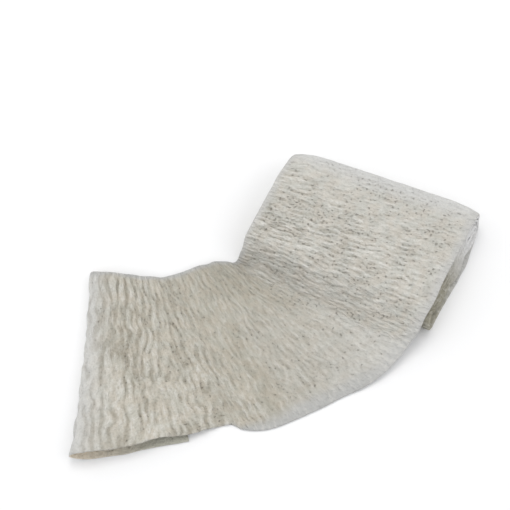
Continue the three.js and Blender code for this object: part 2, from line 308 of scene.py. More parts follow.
def normals_of(grid):
    """Unit normals of a grid of points, out of the face that is uppermost on the loose end."""
    ahead = np.gradient(grid, axis=0)
    outward = np.gradient(grid, axis=1)
    normal = np.cross(outward, ahead)
    return normal / np.linalg.norm(normal, axis=-1, keepdims=True)


def spaced_numbers(first, last, step):
    """Section numbers from first to last whose places lie about step apart half way across."""
    fine = np.linspace(first, last, FINE_POINTS)
    line = cloth_points(fine, [0.5])[:, 0]
    gone = np.concatenate([[0], np.cumsum(np.linalg.norm(np.diff(line, axis=0), axis=1))])
    count = max(1, round(gone[-1] / step))
    return np.interp(np.linspace(0, gone[-1], count + 1), gone, fine)


# Crinkle: fields of random waves over the flat cloth, along the strip and across it

FIELD_CELL = (0.25, 0.5)
FIELD_SIZE = (4096, 256)
PITCHES = (1.7, 2.2, 2.9, 3.8)                   # ridge spacings that are mixed to suit the stretch


def random_waves(seed, pitch, spread, reach_across):
    """A field of unit strength whose waves follow each other along the strip at about pitch."""
    rng = np.random.default_rng(seed)
    noise = np.fft.rfft2(rng.standard_normal(FIELD_SIZE[::-1]))
    along = np.fft.rfftfreq(FIELD_SIZE[0], FIELD_CELL[0])[None, :]
    across = np.fft.fftfreq(FIELD_SIZE[1], FIELD_CELL[1])[:, None]
    keep = np.exp(-(((along - 1 / pitch) * pitch / spread) ** 2))
    keep = keep * np.exp(-((across * math.pi * reach_across) ** 2))
    field = np.fft.irfft2(noise * keep, s=FIELD_SIZE[::-1])
    return field / field.std()


def soft_noise(seed, size_along, size_across):
    """A field of unit strength with soft lumps of about these sizes."""
    rng = np.random.default_rng(seed)
    noise = np.fft.rfft2(rng.standard_normal(FIELD_SIZE[::-1]))
    along = np.fft.rfftfreq(FIELD_SIZE[0], FIELD_CELL[0])[None, :]
    across = np.fft.fftfreq(FIELD_SIZE[1], FIELD_CELL[1])[:, None]
    keep = np.exp(-((along * math.pi * size_along / 2) ** 2 + (across * math.pi * size_across / 2) ** 2))
    keep[0, 0] = 0
    field = np.fft.irfft2(noise * keep, s=FIELD_SIZE[::-1])
    return field / field.std()


def sample(field, s, t):
    """The field at places s along the strip and t across it, in millimetres."""
    x = (s / FIELD_CELL[0]) % FIELD_SIZE[0]
    y = (t / FIELD_CELL[1]) % FIELD_SIZE[1]
    x0, y0 = np.floor(x).astype(int), np.floor(y).astype(int)
    fx, fy = x - x0, y - y0
    x1, y1 = (x0 + 1) % FIELD_SIZE[0], (y0 + 1) % FIELD_SIZE[1]
    x0, y0 = x0 % FIELD_SIZE[0], y0 % FIELD_SIZE[1]
    return (
        field[y0, x0] * (1 - fx) * (1 - fy) + field[y0, x1] * fx * (1 - fy)
        + field[y1, x0] * (1 - fx) * fy + field[y1, x1] * fx * fy
    )


# A field of waves has its own seed, its pitch, how much the pitch varies and how far a wave reaches
# across the strip. A soft field has its seed and the size of its lumps along the strip and across.

LONG_RIDGES = [random_waves(SEED + k, pitch, 0.45, 5.0) for k, pitch in enumerate(PITCHES)]
SHORT_RIDGES = [random_waves(SEED + 10 + k, pitch, 0.50, 1.6) for k, pitch in enumerate(PITCHES)]
CREASES = [random_waves(SEED + 30 + k, 2 * pitch, 0.45, 5.5) for k, pitch in enumerate(PITCHES)]
VALLEYS = random_waves(SEED + 40, 8.0, 0.6, 9.0)
VALLEY_REACH = soft_noise(SEED + 41, 6.0, 10.0)
WANDER = soft_noise(SEED + 20, 6.0, 5.0)
LUMPS = soft_noise(SEED + 21, 5.0, 7.0)
PATCHES = soft_noise(SEED + 22, 16.0, 12.0)
EDGE_WAVES = soft_noise(SEED + 23, 7.0, 40.0)
FOLD_BUMPS = soft_noise(SEED + 24, 12.0, 3.2)

# How the crinkle differs along the strip: ridge strength at the inner selvedge, half way and at the
# outer selvedge, the share of short ridges, how deep the long valleys are, how many pinholes show,
# how wide the smooth band of the outer selvedge is, and the spacing of the ridges

CRINKLE_COLUMNS = ("section", "strength", "short", "valleys", "pinholes", "band", "spacing")
CRINKLE = [
    ("cut end", (0.8, 0.8, 0.7), 0.3, 0.4, 0.3, 1.6, 3.0),
    ("fold, start", (0.5, 0.5, 0.5), 0.2, 0.3, 0.1, 1.4, 3.0),
    ("fold, edge", (0.25, 0.25, 0.2), 0.1, 0.2, -0.4, 1.2, 3.2),
    ("fold, upper side", (0.35, 0.35, 0.3), 0.1, 0.3, -0.6, 0.9, 3.4),
    ("panel at fold", (0.65, 0.7, 0.6), 0.1, 0.8, -0.6, 0.6, 3.5),
    ("left panel", (0.95, 1.1, 0.95), 0.2, 0.85, -0.4, 0.6, 3.4),
    ("panel middle", (0.8, 0.95, 0.9), 0.2, 0.85, 0.0, 0.6, 3.3),
    ("past cut end", (0.75, 0.85, 0.95), 0.3, 0.85, 0.0, 0.8, 3.1),
    ("kink", (0.4, 0.5, 0.5), 0.4, 0.6, 0.0, 1.2, 2.7),
    ("middle right", (0.4, 0.36, 0.36), 0.5, 0.3, 0.0, 4.5, 2.5),
    ("sweep end", (0.45, 0.36, 0.33), 0.7, 0.2, 0.1, 5.0, 2.4),
    ("valley", (0.65, 0.36, 0.33), 0.8, 0.2, 0.4, 4.0, 2.3),
    ("brow", (1.15, 0.85, 0.5), 0.9, 0.2, 0.8, 2.6, 2.2),
    ("top, near", (1.3, 1.1, 0.55), 0.9, 0.2, 1.0, 2.6, 2.1),
    ("top, far", (0.9, 0.55, 0.42), 0.9, 0.2, 0.6, 2.4, 2.1),
    ("top at far fold", (0.38, 0.34, 0.34), 0.8, 0.2, 0.3, 2.2, 2.2),
    ("far fold 90", (0.2, 0.2, 0.2), 0.5, 0.0, 0.1, 2.0, 2.4),
    ("bottom at far fold", (0.5, 0.5, 0.5), 0.5, 0.2, 0.5, 2.0, 2.4),
    ("bottom, near", (0.6, 0.6, 0.6), 0.6, 0.2, 0.8, 2.0, 2.4),
    ("near fold 180", (0.4, 0.4, 0.4), 0.5, 0.0, 0.5, 2.0, 2.4),
]
RIDGE_HEIGHT = 0.125                             # of a ridge of strength 1, as a share of the spacing
RIDGE_WANDER = 0.5                               # how far a ridge strays along the strip
RIDGE_SKEW = 0.1                                 # flattens the crests and deepens the troughs
WAVE_SHARE, CREASE_SHARE = 0.6, 1.4              # of soft waves and of sharp creases in a ridge
MEAN_CREASE = 0.8                                # mean height of creases from a field of unit strength
PATCH_SHARE = 0.13                               # how much the strength differs from patch to patch
STRETCH_LIMITS = (0.45, 1.7)                     # of the cloth on the inner and the outer side of a curve
VALLEY_DEPTH = 0.95
VALLEY_WIDTH = 0.6                               # as a value of the field that they follow
VALLEY_ENDS = (-0.9, 0.5)                        # values of the reach field between which they fade
VALLEY_SHADE = 2.0                               # how deep the material's painted trough shade takes them, on the ridges' scale
LUMP_HEIGHT = 0.16
LUMP_CALM = 0.5                                  # share of the lumps that a smooth band takes away
INNER_SELVEDGE = 1.5                             # width of the smooth band along the inner edge
BAND_SHOWS = (0.4, 1.6)                          # widths between which the outer band comes to show
BAND_EDGES = (0.2, 1.9)                          # shares of its width between which a band fades
BAND_WANDER = 0.12                               # share of its width that a band's edge strays
BAND_CALM = 0.8                                  # share of the crinkle that a band takes away
EDGE_WANDER = 0.18                               # how far the selvedges stray from an even line
EDGE_WANDER_REACH = 9                            # and how far into the cloth that is felt
EDGE_DROOP = 0.3                                 # how far a selvedge on the floor sinks to it
EDGE_DROOP_REACH = 5
ON_FLOOR = (1.0, 2.0)                            # heights between which cloth stops lying on it
FOLD_BUMP = 0.28                                 # bumps along the left fold
FOLD_BUMP_REACH = 1.6                            # how many sections they spread each way
CLOTH = 0.5                                      # thickness of the cloth itself
SELVEDGE_THINNING = 0.45                         # what is left of it at a selvedge's rounded edge
ENVELOPE = HALF_LAYER - CLOTH / 2                # how far the crinkle takes it from its middle
NEAR_FOLD_END = (45, 70)                         # places across where the near fold takes the roll end's painted shade
FAR_FOLD_SMOOTH = 0.6                            # how far the material smooths the far fold and paints it lighter, partly painted light
FAR_FOLD_SMOOTH_REACH = 2.5                      # and over how many sections each way


def along_strip(numbers, values):
    """Values that are known at the crinkle table's sections, at other section numbers."""
    return np.interp(numbers, [NAMES.index(row[0]) for row in CRINKLE], values)[:, None]


def crinkle_at(numbers, column):
    return along_strip(numbers, [row[CRINKLE_COLUMNS.index(column)] for row in CRINKLE])


def ridge_strength(numbers, shares):
    strengths = [row[CRINKLE_COLUMNS.index("strength")] for row in CRINKLE]
    at = [along_strip(numbers, [each[k] for each in strengths]) for k in range(3)]
    v = np.asarray(shares)[None, :]
    inside = smoothstep(v, 0, 0.5)
    outside = smoothstep(v, 0.5, 1)
    return lerp(lerp(at[0], at[1], inside), at[2], outside)


def ridges_at(fields, s, t, pitch):
    """Ridges of the wanted pitch, mixed from the two fields whose pitches are nearest."""
    steps = np.log(pitch / PITCHES[0]) / np.log(PITCHES[-1] / PITCHES[0]) * (len(PITCHES) - 1)
    steps = np.clip(steps, 0, len(PITCHES) - 1)
    total = np.zeros_like(s)
    strength = np.zeros_like(s)
    for k, field in enumerate(fields):
        weight = np.clip(1 - np.abs(steps - k), 0, 1)
        total += weight * sample(field, s, t)
        strength += weight**2
    return total / np.sqrt(strength)


def edge_distance(t):
    return np.minimum(t, STRIP_WIDTH - t)


def selvedge_band(s, t, outer_width):
    """How far each point belongs to the smooth band along an edge, from 0 to 1."""
    width = np.where(t < STRIP_WIDTH / 2, INNER_SELVEDGE, outer_width)
    from_edge = edge_distance(t) + BAND_WANDER * width * sample(WANDER, s, t)
    return 1 - smoothstep(from_edge, BAND_EDGES[0] * width, BAND_EDGES[1] * width)


def unevened(base, s, t):
    """The middle surface with selvedges that stray a little and sink to the floor they lie on."""
    outward = np.gradient(base, axis=1)
    outward = outward / np.linalg.norm(outward, axis=-1, keepdims=True)
    near_edge = 1 - smoothstep(edge_distance(t), 0, EDGE_WANDER_REACH)
    base = base + outward * (EDGE_WANDER * near_edge * sample(EDGE_WAVES, s, t))[..., None]
    on_floor = 1 - smoothstep(base[..., 2], *ON_FLOOR)
    base[..., 2] -= EDGE_DROOP * on_floor * (1 - smoothstep(edge_distance(t), 0, EDGE_DROOP_REACH))
    return base


def ridge_field(s, t, short, pitch):
    """Ridges of unit strength: soft waves with sharp creases among them."""
    long_part = ridges_at(LONG_RIDGES, s, t, pitch)
    short_part = ridges_at(SHORT_RIDGES, s, t, pitch)
    waves = (long_part * (1 - short) + short_part * short) / np.sqrt((1 - short) ** 2 + short**2)
    creases = np.abs(ridges_at(CREASES, s, t, pitch))
    return WAVE_SHARE * waves + CREASE_SHARE * (creases - MEAN_CREASE)


def valley_field(s, t, wander_s, depth):
    valley = np.exp(-((sample(VALLEYS, wander_s, t) / VALLEY_WIDTH) ** 2))
    return valley * smoothstep(sample(VALLEY_REACH, s, t), *VALLEY_ENDS) * depth


def two_faces(base, lift, thickness):
    """Upper and lower face of cloth that is lifted off its middle surface, thin at its selvedges."""
    normal = normals_of(base)
    half = np.full_like(lift, thickness / 2)
    half[:, [0, -1]] *= SELVEDGE_THINNING
    return base + normal * (lift + half)[..., None], base + normal * (lift - half)[..., None]


def tone_facts(numbers, t):
    """How far each point is on the roll, at the roll's layered end, and where a fold smooths it, for the
    material's tones and its painted light and shade.
    """
    on_roll = passed(numbers, "sweep", "brow")[:, None] + 0 * t
    at_near_fold = passed(numbers, "bottom, middle", "near fold 0")[:, None]
    at_end = at_near_fold * smoothstep(t, *NEAR_FOLD_END)
    smooth = 1 - passed(numbers, "fold, upper side", "left panel")
    from_far_fold = (numbers - FAR_FOLD_MIDDLE) / FAR_FOLD_SMOOTH_REACH
    smooth = smooth + FAR_FOLD_SMOOTH * np.exp(-(from_far_fold**2))
    return np.stack([on_roll, at_end, smooth[:, None] + 0 * t], -1)


def crinkled(base, numbers, shares, s):
    """Upper and lower face of the crinkled cloth over its middle surface, and each point's facts."""
    t = np.asarray(shares)[None, :] * STRIP_WIDTH + 0 * s[:, None]
    s = s[:, None] + 0 * t
    base = unevened(base, s, t)
    step_along = np.linalg.norm(np.gradient(base, axis=0), axis=-1)
    stretch = np.clip(step_along / np.gradient(s, axis=0), *STRETCH_LIMITS)
    pitch_here = crinkle_at(numbers, "spacing") * np.sqrt(stretch)
    wander_s = s + RIDGE_WANDER * sample(WANDER, s, t)
    ridge = ridge_field(wander_s, t, crinkle_at(numbers, "short"), pitch_here / stretch)
    profile = ridge - RIDGE_SKEW * (ridge**2 - 1)
    outer_width = crinkle_at(numbers, "band")
    in_band = selvedge_band(s, t, outer_width)
    in_band = in_band * np.where(t < STRIP_WIDTH / 2, 1, smoothstep(outer_width, *BAND_SHOWS))
    planned = ridge_strength(numbers, shares)
    strength = planned * (1 - BAND_CALM * in_band) * (1 + PATCH_SHARE * sample(PATCHES, s, t))
    valley = valley_field(s, t, wander_s, crinkle_at(numbers, "valleys"))
    valley = valley * (1 - BAND_CALM * in_band)
    at_left_fold = np.exp(-(((numbers - NAMES.index("fold, edge")) / FOLD_BUMP_REACH) ** 2))[:, None]
    lift = RIDGE_HEIGHT * pitch_here * strength * profile
    lift = lift - VALLEY_DEPTH * valley
    lift = lift + LUMP_HEIGHT * strength * sample(LUMPS, s, t) * (1 - LUMP_CALM * in_band)
    lift = lift + FOLD_BUMP * at_left_fold * sample(FOLD_BUMPS, s, t)
    lift = np.tanh(lift / ENVELOPE) * ENVELOPE
    upper, lower = two_faces(base, lift, CLOTH)
    sink = np.maximum(0, -np.minimum(upper[..., 2], lower[..., 2]))
    upper[..., 2] += sink
    lower[..., 2] += sink
    facts = {
        "cloth": np.stack([s, t, ridge - VALLEY_SHADE * valley], -1),
        "finish": np.stack([in_band, crinkle_at(numbers, "pinholes") + 0 * t, planned], -1),
        "tone": tone_facts(numbers, t),
    }
    return upper, lower, facts


# Meshes

EDGE_CELLS = (0.3, 0.9)                          # ends of the narrow cells at each selvedge
RIM = 0.4                                        # width that a wall takes on the texture map
MAP_MARGIN = 0.006


def across_shares(cells):
    """Shares across the strip: even, with two narrow cells at each selvedge for its rounded edge."""
    edge = np.array([0.0, EDGE_CELLS[0]]) / STRIP_WIDTH
    inset = EDGE_CELLS[1] / STRIP_WIDTH
    inside = np.linspace(inset, 1 - inset, cells - 3)
    return np.concatenate([edge, inside, 1 - edge[::-1]])


def texture_map(faces, rows, columns, s, t, lengths):
    """Places on the texture map for each corner of each face.

    The strip is cut into equal lengths. Each length has a band for its upper face, with the walls
    along its rim, and a band for its lower face.
    """
    first_row = np.where(faces < rows * columns, faces, faces - rows * columns) // columns
    column = faces % columns
    on_lower = faces >= rows * columns
    lower_face = on_lower.all(axis=1)[:, None]
    part = np.minimum(first_row.min(axis=1) * lengths // (rows - 1), lengths - 1)[:, None]
    cuts = s[[round(k * (rows - 1) / lengths) for k in range(lengths + 1)]]
    on_rim = on_lower & ~lower_face
    end_wall = (first_row == first_row[:, :1]).all(axis=1)[:, None]
    along, across = s[first_row], t[column]
    along = along + np.where(on_rim & end_wall, np.where(first_row == 0, -RIM, RIM), 0)
    across = across + np.where(on_rim & ~end_wall, np.where(column == 0, -RIM, RIM), 0)
    u = (along - cuts[part] + RIM) / (cuts[part + 1] - cuts[part] + 2 * RIM)
    v = (across + RIM) / (STRIP_WIDTH + 2 * RIM)
    band = 2 * part + lower_face
    margin = MAP_MARGIN * 2 * lengths
    u = MAP_MARGIN + (1 - 2 * MAP_MARGIN) * u
    v = (band + margin + (1 - 2 * margin) * v) / (2 * lengths)
    return np.stack([u, v], -1)


def strip_mesh(name, upper, lower, facts, painted_fold_light, lengths=1):
    """A closed mesh between two faces of a strip, walled all round.

    The fifth argument is how far the lower face of each row is inside the left fold, where it gets painted
    warm bounce light and shade.
    """
    rows, columns = upper.shape[:2]
    points = np.concatenate([upper.reshape(-1, 3), lower.reshape(-1, 3)])
    points = (points + LAYOUT_SHIFT) * MM
    index = np.arange(rows * columns).reshape(rows, columns)
    under = index + rows * columns

    def quads(a, b, c, d):
        return np.stack([a, b, c, d], -1).reshape(-1, 4)

    faces = np.concatenate([
        quads(index[:-1, :-1], index[:-1, 1:], index[1:, 1:], index[1:, :-1]),
        quads(under[:-1, :-1], under[1:, :-1], under[1:, 1:], under[:-1, 1:]),
        quads(index[:-1, 0], index[1:, 0], under[1:, 0], under[:-1, 0]),
        quads(index[:-1, -1], under[:-1, -1], under[1:, -1], index[1:, -1]),
        quads(index[0, :-1], under[0, :-1], under[0, 1:], index[0, 1:]),
        quads(index[-1, :-1], index[-1, 1:], under[-1, 1:], under[-1, :-1]),
    ])
    mesh = bpy.data.meshes.new(name)
    mesh.from_pydata(points.tolist(), [], faces.tolist())
    for key, values in facts.items():
        layer = mesh.attributes.new(key, "FLOAT_VECTOR", "POINT")
        both = np.concatenate([values.reshape(-1, 3), values.reshape(-1, 3)])
        layer.data.foreach_set("vector", both.astype(np.float32).ravel())
    # Painted warm bounce light and shade inside the left fold, on the lower face only
    inside = mesh.attributes.new("inside", "FLOAT", "POINT")
    tint = np.concatenate([np.zeros(rows * columns), np.repeat(painted_fold_light, columns)])
    inside.data.foreach_set("value", tint.astype(np.float32))
    s, t = facts["cloth"][:, 0, 0], facts["cloth"][0, :, 1]
    places = texture_map(faces, rows, columns, s, t, lengths)
    mesh.uv_layers.new(name="OFBake").data.foreach_set("uv", places.astype(np.float32).ravel())
    mesh.polygons.foreach_set("use_smooth", np.ones(len(mesh.polygons), bool))
    mesh.update()
    piece = bpy.data.objects.new(name, mesh)
    bpy.context.collection.objects.link(piece)
    return piece


def strip_piece(name, runs, cells, length_before=0.0):
    """One stretch of the strip, from runs of (first section, last section, step)."""
    numbers = [spaced_numbers(NAMES.index(a), NAMES.index(b), step)[:-1] for a, b, step in runs]
    numbers = np.concatenate([*numbers, [NAMES.index(runs[-1][1])]])
    shares = across_shares(cells)
    base = cloth_points(numbers, shares)
    middle = cloth_points(numbers, [0.5])[:, 0]
    s = np.concatenate([[0], np.cumsum(np.linalg.norm(np.diff(middle, axis=0), axis=1))])
    upper, lower, facts = crinkled(base, numbers, shares, s + length_before)
    print(name, "rows", len(numbers), "columns", len(shares), "length", round(s[-1], 1))
    # How far each row's lower face gets the painted light and shade inside the left fold
    painted_fold_light = 1 - passed(numbers, "fold, upper side", "left panel")
    return strip_mesh(name, upper, lower, facts, painted_fold_light), s[-1]


outer_cloth, outer_length = strip_piece(
    "outer_cloth",
    [("cut end", "tail", 0.8), ("tail", "far fold 155", 0.46)],
    84,
)
under_cloth, under_length = strip_piece(
    "under_cloth",
    [("far fold 155", "near fold 180", 0.6)],
    80,
    outer_length,
)

# The wound turns inside: a spiral of flat loops between the far and the near fold

INNER_TURNS = 7
FIRST_INSET = 1.2                                # from the outer turn's middle to the first inner one
TURN_PITCH = 0.8
INNER_CLOTH = 0.6
INNER_STEP = 0.7
# Where the two selvedges of the inner turns lie along the roll, at places across it. Their ends lean
# to the left from foot to top.
TURN_ENDS = {
    "across": (0, 14, 25, 36, 50),
    "foot start": (3.0, 3.5, 3.0, 0.2, -2.6),
    "foot end": (78.2, 77.8, 76.8, 74.4, 69.5),
    "top start": (-1.2, -2.4, -3.4, -4.6, -5.0),
    "top end": (74.8, 73.4, 71.6, 69.6, 66.4),
}
END_WAVES = 0.5                                  # how unevenly the turns' selvedges lie over each other
FAR_END_REACH = 1.1                              # how much further out they come at the far fold
FAR_END_SPREAD = 12                              # and how far across from it that is felt
INNER_BULGE_SPREAD = 8                           # and how far across they follow the fold's bulge
INNER_RIDGE = 0.06                               # height of the inner turns' ridges
INNER_RIDGE_LIMIT = 0.4                          # how strongly the highest of them are held down
FOLD_POINTS = 13                                 # of each turn at a fold
# Places of the mesh's columns from each selvedge, up to the one half way
INNER_COLUMNS = (0, *EDGE_CELLS, 1.8, 2.8, 4.0, 5.5, 8.0, 12.0, 20.0, 30.0)
INNER_FINISH = (0.3, 0.5)                        # pinholes and ridge strength for the material
END_IN_LIGHT = (10, 38)                          # places across where the roll's end goes into shade


def loop_places(share, turn):
    """One inner turn in cross-section at a share of the width, from the near fold's top round."""
    near_radius, near_centre = near_fold_at(share)
    far_middle = HALF_LAYER + FAR_FOLD_RADIUS
    inset = FIRST_INSET + TURN_PITCH * turn
    before = FIRST_INSET + TURN_PITCH * (turn - 1) if turn else 0.0
    far = FAR_FOLD_RADIUS - inset
    near = near_radius * (1 - inset / FAR_FOLD_RADIUS)
    near_before = near_radius * (1 - before / FAR_FOLD_RADIUS)
    near_middle = HALF_LAYER + near_radius
    arc = np.radians(np.linspace(0, 180, FOLD_POINTS))
    far_arc = np.stack([far_middle - far * np.sin(arc), far_middle + far * np.cos(arc)], -1)
    near_arc = np.stack([near_centre + near * np.sin(arc), near_middle - near * np.cos(arc)], -1)
    start = np.array([[near_centre, near_middle + near_before]])
    return np.concatenate([start, far_arc, near_arc[:-1]])


def inner_turns():
    half = np.array(INNER_COLUMNS) / STRIP_WIDTH
    shares = np.concatenate([half, [0.5], 1 - half[::-1]])
    lines = [np.concatenate([loop_places(v, turn) for turn in range(INNER_TURNS)]) for v in shares]
    middle = lines[len(shares) // 2]
    gone = np.concatenate([[0], np.cumsum(np.linalg.norm(np.diff(middle, axis=0), axis=1))])
    count = round(gone[-1] / INNER_STEP)
    knots = np.interp(np.linspace(0, gone[-1], count + 1), gone, np.arange(len(gone)))
    s = np.interp(knots, np.arange(len(gone)), gone) + outer_length + under_length
    uneven = [END_WAVES * sample(EDGE_WAVES, s, np.full_like(s, place)) for place in (0, STRIP_WIDTH)]
    base = np.zeros((len(knots), len(shares), 3))
    places_across = np.zeros((len(knots), len(shares)))
    for column, (v, line) in enumerate(zip(shares, lines)):
        across = np.interp(knots, np.arange(len(line)), line[:, 0])
        height = np.interp(knots, np.arange(len(line)), line[:, 1])
        ends = {key: np.interp(across, TURN_ENDS["across"], row) for key, row in TURN_ENDS.items()}
        start = lerp(ends["foot start"], ends["top start"], height / TOP_LAYER) + uneven[0]
        end = lerp(ends["foot end"], ends["top end"], height / TOP_LAYER) + uneven[1]
        end = end + FAR_END_REACH * np.exp(-((across / FAR_END_SPREAD) ** 2))
        bulge = far_fold_bulge(v, 0) * np.exp(-((across / INNER_BULGE_SPREAD) ** 2))
        base[:, column] = roll_point(lerp(start, end, v), across - bulge, height)
        places_across[:, column] = across
    t = shares[None, :] * STRIP_WIDTH + 0 * s[:, None]
    along = s[:, None] + 0 * t
    ridge = sample(LONG_RIDGES[1], along, t)
    lift = INNER_RIDGE * ridge / (1 + INNER_RIDGE_LIMIT * np.abs(ridge))
    upper, lower = two_faces(base, lift, INNER_CLOTH)
    in_band = selvedge_band(along, t, INNER_SELVEDGE)
    pinholes, strength = INNER_FINISH
    in_light = 1 - smoothstep(places_across, *END_IN_LIGHT)
    facts = {
        "cloth": np.stack([along, t, ridge], -1),
        "finish": np.stack([in_band, pinholes + 0 * t, strength + 0 * t], -1),
        "tone": np.stack([1 + 0 * t, 1 + 0 * t, in_light], -1),
    }
    print("inner_turns rows", len(knots), "columns", len(shares), "length", round(gone[-1], 1))
    return strip_mesh("inner_turns", upper, lower, facts, np.zeros(len(knots)), lengths=2), gone[-1]


wound_cloth, wound_length = inner_turns()
print("whole strip", round(outer_length + under_length + wound_length, 1))

# Materials: a colour is linear RGB with an alpha of 1

CREPE_COLOUR = (0.55, 0.525, 0.465, 1)
SHADED_SWEEP_COLOUR = (0.465, 0.44, 0.38, 1)            # where the loose end curves round over the floor: darker there, which is painted shade
ROLL_TONE_AND_LIGHT_COLOUR = (0.57, 0.555, 0.515, 1)            # the roll: less creamy than the loose end, and a little lighter, which is painted light
WARM_TINT = (1.02, 0.995, 0.96, 1)
GREEN_TINT = (0.985, 1.0, 0.99, 1)
CREST_HIGHLIGHT_COLOUR = (0.72, 0.705, 0.66, 1)            # painted highlight on the tops of the ridges, also along fine threads
# Painted shade in the troughs of the crinkle, also used for its darker fine grain
TROUGH_SHADE_AND_GRAIN_COLOUR = (0.23, 0.205, 0.155, 1)
SMOOTH_AND_LIT_COLOUR = (0.60, 0.60, 0.585, 1)           # where a fold draws the crinkle out: lighter and cooler, partly painted light
SHADED_SWEEP_EDGE_COLOUR = (0.46, 0.46, 0.445, 1)       # the smooth band along a selvedge, on the loose end, darker there with painted shade
ROLL_EDGE_COLOUR = (0.53, 0.525, 0.505, 1)       # and on the roll
FOLD_BOUNCE_LIGHT_COLOUR = (0.74, 0.66, 0.54, 1)            # painted warm bounce light inside the left fold, towards its edge
FOLD_END_SHADE_COLOUR = (0.46, 0.45, 0.38, 1)        # and painted shade towards the cut end
HOLE_COLOUR = (0.15, 0.13, 0.10, 1)
NEAR_END_COLOUR = (0.36, 0.34, 0.27, 1)          # the layered end of the roll, where it is shaded
FAR_END_COLOUR = (0.74, 0.735, 0.73, 1)          # and where it faces the light

# Noise: how often it repeats in a millimetre along and across the strip, its detail and its offset

NOISES = {
    "fine": (0.85, 0.26, 2.0, 3.0),
    "grain": (1.5, 1.1, 2.0, 7.0),
    "knots": (0.85, 0.36, 1.0, 41.0),
    "dashes": (1.35, 0.9, 0.0, 23.0),
}
MOTTLE_SCALE = 0.22

# Where each change begins and ends, as a value of the noise, ridge, strength or place that drives it

RAMPS = {
    "warm to green": (0.38, 0.62),
    "panel to shaded sweep": (60.0, 105.0),
    "cut end to fold": (6.0, 34.0),
    "smooth": (0.40, 0.26),
    "crest": (0.0, 1.5),
    "crest knots": (0.4, 0.62),
    "thread": (0.54, 0.68),
    "trough": (0.2, -1.8),
    "fine trough": (0.52, 0.36),
    "grain trough": (0.56, 0.35),
    "hole in trough": (0.0, -0.9),
    "hole": (0.69, 0.80),
}

# How strongly each one shows

# Share of the lighter smooth colour, partly painted light, that the folds get
SMOOTH_SHARE = 0.8
PLAIN_RELIEF = 0.25                              # relief of cloth with no ridges, of 1 in all
INSIDE_CALM = 0.7                                # share of the relief that is lost inside the fold
CREST_HIGHLIGHT_SHARES = (0.55, 0.80)                      # of the painted crest highlight, on the loose end and on the roll
# Painted highlight along fine threads
THREAD_HIGHLIGHT_SHARE = 0.35
TROUGH_SHADE_SHARES = (1.6, 1.0)                       # of the painted trough shade, on the loose end and on the roll
# Painted shade in the troughs, and darker fine grain and grain
SHADES = {"trough": 0.27, "fine": 0.16, "grain": 0.18}
HOLE_SHARE = 0.45
HOLES_ADDED = 0.10                               # to the dashes, where the most pinholes show
HEIGHTS = {"fine": 0.9, "grain": 0.5, "knots": 0.9, "hole": 0.4}
BUMP_HEIGHT = 0.9 * MM


class Nodes:
    """Short calls for building a material's nodes."""

    def __init__(self, name):
        self.material = bpy.data.materials.new(name)
        self.material.use_nodes = True
        self.tree = self.material.node_tree
        self.tree.nodes.clear()

    def add(self, kind, inputs=None, **settings):
        node = self.tree.nodes.new(kind)
        for key, value in settings.items():
            setattr(node, key, value)
        for key, value in (inputs or {}).items():
            if isinstance(value, bpy.types.NodeSocket):
                self.tree.links.new(value, node.inputs[key])
            else:
                node.inputs[key].default_value = value
        return node

    def attribute(self, name):
        return self.add("ShaderNodeAttribute", attribute_name=name, attribute_type="GEOMETRY")

    def parts(self, name):
        """The three numbers of a vector attribute."""
        return self.add("ShaderNodeSeparateXYZ", {0: self.attribute(name).outputs["Vector"]}).outputs

    def math(self, operation, first, *others):
        for other in others:
            first = self.add("ShaderNodeMath", {0: first, 1: other}, operation=operation).outputs[0]
        return first

    def times(self, *values):
        return self.math("MULTIPLY", *values)

    def plus(self, *values):
        return self.math("ADD", *values)

    def less(self, first, second):
        return self.math("SUBTRACT", first, second)

    def without(self, value, share=1.0):
        """What a value leaves of 1, when this share of it counts."""
        return self.less(1.0, self.times(value, share))

    def ramp(self, value, name):
        low, high = RAMPS[name]
        return self.add(
            "ShaderNodeMapRange", {"Value": value, "From Min": low, "From Max": high},
            interpolation_type="SMOOTHSTEP",
        ).outputs[0]

    def noise(self, place, name):
        scale_along, scale_across, detail, offset = NOISES[name]
        moved = self.add("ShaderNodeMapping", {
            "Vector": place, "Scale": (scale_along, scale_across, 1.0), "Location": (offset, offset, 0.0),
        }).outputs[0]
        return self.add("ShaderNodeTexNoise", {"Vector": moved, "Scale": 1.0, "Detail": detail}).outputs[0]

    def mix(self, factor, a, b, blend="MIX"):
        node = self.add("ShaderNodeMix", data_type="RGBA", blend_type=blend)
        for socket, value in ((node.inputs[0], factor), (node.inputs[6], a), (node.inputs[7], b)):
            if isinstance(value, bpy.types.NodeSocket):
                self.tree.links.new(value, socket)
            else:
                socket.default_value = value
        return node.outputs[2]


def read_facts(n):
    """The facts that the mesh carries, and what follows from them, by name."""
    at = {}
    at["along"], at["across"], at["ridge"] = n.parts("cloth")
    at["band"], at["holes"], at["strength"] = n.parts("finish")
    at["on_roll"], at["at_end"], at["smooth"] = n.parts("tone")
    # how far a point gets the painted light and shade inside the left fold
    at["inside"] = n.attribute("inside").outputs["Fac"]
    at["flat"] = n.add("ShaderNodeCombineXYZ", {0: at["along"], 1: at["across"]}).outputs[0]
    for name in NOISES:
        at[name] = n.noise(at["flat"], name)
    relief = n.plus(n.times(at["strength"], 1 - PLAIN_RELIEF), PLAIN_RELIEF)
    at["relief"] = n.times(relief, n.without(at["inside"], INSIDE_CALM))
    return at


